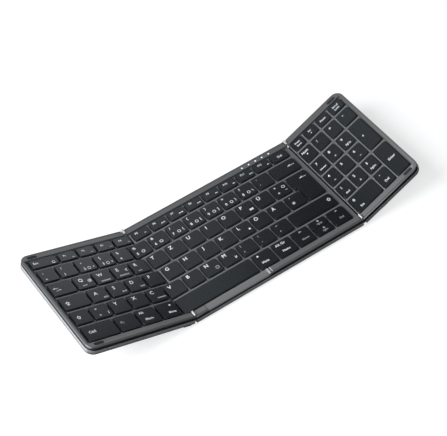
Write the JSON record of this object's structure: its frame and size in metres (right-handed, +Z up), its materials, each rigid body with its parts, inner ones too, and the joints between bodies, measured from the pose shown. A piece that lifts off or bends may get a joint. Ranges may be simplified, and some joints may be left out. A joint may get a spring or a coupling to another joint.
{
  "type": "folding keyboard",
  "caption": "Slim folding keyboard in three hinged panels with a number block, short-travel keys that press and wings that fold flat over the middle.",
  "frame": {"origin": "on the desk, at the centre of the middle panel's front foot", "axes": "+X along the keyboard to the number block, +Y from the user's edge to the back, +Z up"},
  "size_m": [0.3295, 0.1181, 0.0437],
  "materials": {
    "case_metal": "dark grey anodised, satin",
    "deck_plastic": "grey, satin",
    "rail_plastic": "metallic grey paint, satin",
    "cover_metal": "grey anodised, fine brushed",
    "bright_metal": "polished",
    "light_lens": "clear white, gloss",
    "circuit_board": "green lacquer",
    "battery_foil": "matt foil",
    "socket_steel": "plated",
    "foot_rubber": "matt black",
    "hinge_steel": "bright",
    "key_plastic": "near-black, fine matt"
  },
  "bodies": {
    "middle": {"middle_lower_case": "case_metal", "middle_deck": "deck_plastic", "middle_back_rail": "rail_plastic", "middle_front_rail": "rail_plastic", "front_rail_cover": "cover_metal", "rail_bars": "bright_metal", "indicator_lights": "light_lens", "middle_switch_board": "circuit_board", "battery": "battery_foil", "charging_socket": "socket_steel", "middle_feet": "foot_rubber", "hinge_frame_leaves": "hinge_steel", "hinge_pins": "hinge_steel"},
    "left_wing": {"left_lower_case": "case_metal", "left_deck": "deck_plastic", "left_rim": "rail_plastic", "left_switch_board": "circuit_board", "left_corner_pads": "foot_rubber", "left_feet": "foot_rubber", "left_hinge_leaves": "hinge_steel"},
    "right_wing": {"right_lower_case": "case_metal", "right_deck": "deck_plastic", "right_rim": "rail_plastic", "right_switch_board": "circuit_board", "right_corner_pads": "foot_rubber", "right_feet": "foot_rubber", "right_hinge_leaves": "hinge_steel"},
    "escape_key_body": {"escape_key": "key_plastic"},
    "left_function_keys_body": {"left_function_keys": "key_plastic"},
    "left_number_keys_body": {"left_number_keys": "key_plastic"},
    "tab_key_body": {"tab_key": "key_plastic"},
    "left_upper_keys_body": {"left_upper_keys": "key_plastic"},
    "caps_lock_key_body": {"caps_lock_key": "key_plastic"},
    "left_home_keys_body": {"left_home_keys": "key_plastic"},
    "left_shift_key_body": {"left_shift_key": "key_plastic"},
    "left_lower_keys_body": {"left_lower_keys": "key_plastic"},
    "control_key_body": {"control_key": "key_plastic"},
    "left_modifier_keys_body": {"left_modifier_keys": "key_plastic"},
    "right_function_keys_body": {"right_function_keys": "key_plastic"},
    "delete_key_body": {"delete_key": "key_plastic"},
    "right_number_keys_body": {"right_number_keys": "key_plastic"},
    "backspace_key_body": {"backspace_key": "key_plastic"},
    "right_upper_keys_body": {"right_upper_keys": "key_plastic"},
    "enter_key_body": {"enter_key": "key_plastic"},
    "right_home_keys_body": {"right_home_keys": "key_plastic"},
    "right_lower_keys_body": {"right_lower_keys": "key_plastic"},
    "right_shift_key_body": {"right_shift_key": "key_plastic"},
    "space_bar_body": {"space_bar": "key_plastic"},
    "right_modifier_keys_body": {"right_modifier_keys": "key_plastic"},
    "side_arrow_keys_body": {"side_arrow_keys": "key_plastic"},
    "up_arrow_key_body": {"up_arrow_key": "key_plastic"},
    "down_arrow_key_body": {"down_arrow_key": "key_plastic"},
    "numpad_top_keys_body": {"numpad_top_keys": "key_plastic"},
    "numpad_sign_keys_body": {"numpad_sign_keys": "key_plastic"},
    "numpad_digit_keys_body": {"numpad_digit_keys": "key_plastic"},
    "numpad_comma_key_body": {"numpad_comma_key": "key_plastic"},
    "numpad_plus_key_body": {"numpad_plus_key": "key_plastic"},
    "numpad_enter_key_body": {"numpad_enter_key": "key_plastic"},
    "numpad_zero_key_body": {"numpad_zero_key": "key_plastic"}
  },
  "joints": [
    {"name": "left_fold", "type": "hinge", "parent": "middle", "child": "left_wing", "pos_m": [-0.0846, 0.05, 0.0099], "axis": [0, 1, 0], "range_deg": [-19.8, 160.2]},
    {"name": "right_fold", "type": "hinge", "parent": "middle", "child": "right_wing", "pos_m": [0.0846, 0.05, 0.0099], "axis": [0, -1, 0], "range_deg": [-24.3, 155.7]},
    {"name": "escape_key_press", "type": "slide", "parent": "left_wing", "child": "escape_key_body", "axis": [-0.3387, 0, -0.9409], "range_m": [0, 0.0013], "stiffness_N_per_m": 400},
    {"name": "left_function_keys_press", "type": "slide", "parent": "left_wing", "child": "left_function_keys_body", "axis": [-0.3387, 0, -0.9409], "range_m": [0, 0.0013], "stiffness_N_per_m": 1600},
    {"name": "left_number_keys_press", "type": "slide", "parent": "left_wing", "child": "left_number_keys_body", "axis": [-0.3387, 0, -0.9409], "range_m": [0, 0.0013], "stiffness_N_per_m": 2000},
    {"name": "tab_key_press", "type": "slide", "parent": "left_wing", "child": "tab_key_body", "axis": [-0.3387, 0, -0.9409], "range_m": [0, 0.0013], "stiffness_N_per_m": 400},
    {"name": "left_upper_keys_press", "type": "slide", "parent": "left_wing", "child": "left_upper_keys_body", "axis": [-0.3387, 0, -0.9409], "range_m": [0, 0.0013], "stiffness_N_per_m": 1600},
    {"name": "caps_lock_key_press", "type": "slide", "parent": "left_wing", "child": "caps_lock_key_body", "axis": [-0.3387, 0, -0.9409], "range_m": [0, 0.0013], "stiffness_N_per_m": 400},
    {"name": "left_home_keys_press", "type": "slide", "parent": "left_wing", "child": "left_home_keys_body", "axis": [-0.3387, 0, -0.9409], "range_m": [0, 0.0013], "stiffness_N_per_m": 1600},
    {"name": "left_shift_key_press", "type": "slide", "parent": "left_wing", "child": "left_shift_key_body", "axis": [-0.3387, 0, -0.9409], "range_m": [0, 0.0013], "stiffness_N_per_m": 400},
    {"name": "left_lower_keys_press", "type": "slide", "parent": "left_wing", "child": "left_lower_keys_body", "axis": [-0.3387, 0, -0.9409], "range_m": [0, 0.0013], "stiffness_N_per_m": 1600},
    {"name": "control_key_press", "type": "slide", "parent": "left_wing", "child": "control_key_body", "axis": [-0.3387, 0, -0.9409], "range_m": [0, 0.0013], "stiffness_N_per_m": 400},
    {"name": "left_modifier_keys_press", "type": "slide", "parent": "left_wing", "child": "left_modifier_keys_body", "axis": [-0.3387, 0, -0.9409], "range_m": [0, 0.0013], "stiffness_N_per_m": 1200},
    {"name": "right_function_keys_press", "type": "slide", "parent": "middle", "child": "right_function_keys_body", "axis": [0, 0, -1], "range_m": [0, 0.0013], "stiffness_N_per_m": 3200},
    {"name": "delete_key_press", "type": "slide", "parent": "middle", "child": "delete_key_body", "axis": [0, 0, -1], "range_m": [0, 0.0013], "stiffness_N_per_m": 400},
    {"name": "right_number_keys_press", "type": "slide", "parent": "middle", "child": "right_number_keys_body", "axis": [0, 0, -1], "range_m": [0, 0.0013], "stiffness_N_per_m": 3200},
    {"name": "backspace_key_press", "type": "slide", "parent": "middle", "child": "backspace_key_body", "axis": [0, 0, -1], "range_m": [0, 0.0013], "stiffness_N_per_m": 400},
    {"name": "right_upper_keys_press", "type": "slide", "parent": "middle", "child": "right_upper_keys_body", "axis": [0, 0, -1], "range_m": [0, 0.0013], "stiffness_N_per_m": 3200},
    {"name": "enter_key_press", "type": "slide", "parent": "middle", "child": "enter_key_body", "axis": [0, 0, -1], "range_m": [0, 0.0013], "stiffness_N_per_m": 400},
    {"name": "right_home_keys_press", "type": "slide", "parent": "middle", "child": "right_home_keys_body", "axis": [0, 0, -1], "range_m": [0, 0.0013], "stiffness_N_per_m": 3200},
    {"name": "right_lower_keys_press", "type": "slide", "parent": "middle", "child": "right_lower_keys_body", "axis": [0, 0, -1], "range_m": [0, 0.0013], "stiffness_N_per_m": 2800},
    {"name": "right_shift_key_press", "type": "slide", "parent": "middle", "child": "right_shift_key_body", "axis": [0, 0, -1], "range_m": [0, 0.0013], "stiffness_N_per_m": 400},
    {"name": "space_bar_press", "type": "slide", "parent": "middle", "child": "space_bar_body", "axis": [0, 0, -1], "range_m": [0, 0.0013], "stiffness_N_per_m": 400},
    {"name": "right_modifier_keys_press", "type": "slide", "parent": "middle", "child": "right_modifier_keys_body", "axis": [0, 0, -1], "range_m": [0, 0.0013], "stiffness_N_per_m": 800},
    {"name": "side_arrow_keys_press", "type": "slide", "parent": "middle", "child": "side_arrow_keys_body", "axis": [0, 0, -1], "range_m": [0, 0.0013], "stiffness_N_per_m": 800},
    {"name": "up_arrow_key_press", "type": "slide", "parent": "middle", "child": "up_arrow_key_body", "axis": [0, 0, -1], "range_m": [0, 0.0013], "stiffness_N_per_m": 400},
    {"name": "down_arrow_key_press", "type": "slide", "parent": "middle", "child": "down_arrow_key_body", "axis": [0, 0, -1], "range_m": [0, 0.0013], "stiffness_N_per_m": 400},
    {"name": "numpad_top_keys_press", "type": "slide", "parent": "right_wing", "child": "numpad_top_keys_body", "axis": [0.4115, 0, -0.9114], "range_m": [0, 0.0013], "stiffness_N_per_m": 1600},
    {"name": "numpad_sign_keys_press", "type": "slide", "parent": "right_wing", "child": "numpad_sign_keys_body", "axis": [0.4115, 0, -0.9114], "range_m": [0, 0.0013], "stiffness_N_per_m": 1600},
    {"name": "numpad_digit_keys_press", "type": "slide", "parent": "right_wing", "child": "numpad_digit_keys_body", "axis": [0.4115, 0, -0.9114], "range_m": [0, 0.0013], "stiffness_N_per_m": 3600},
    {"name": "numpad_comma_key_press", "type": "slide", "parent": "right_wing", "child": "numpad_comma_key_body", "axis": [0.4115, 0, -0.9114], "range_m": [0, 0.0013], "stiffness_N_per_m": 400},
    {"name": "numpad_plus_key_press", "type": "slide", "parent": "right_wing", "child": "numpad_plus_key_body", "axis": [0.4115, 0, -0.9114], "range_m": [0, 0.0013], "stiffness_N_per_m": 400},
    {"name": "numpad_enter_key_press", "type": "slide", "parent": "right_wing", "child": "numpad_enter_key_body", "axis": [0.4115, 0, -0.9114], "range_m": [0, 0.0013], "stiffness_N_per_m": 400},
    {"name": "numpad_zero_key_press", "type": "slide", "parent": "right_wing", "child": "numpad_zero_key_body", "axis": [0.4115, 0, -0.9114], "range_m": [0, 0.0013], "stiffness_N_per_m": 400}
  ]
}
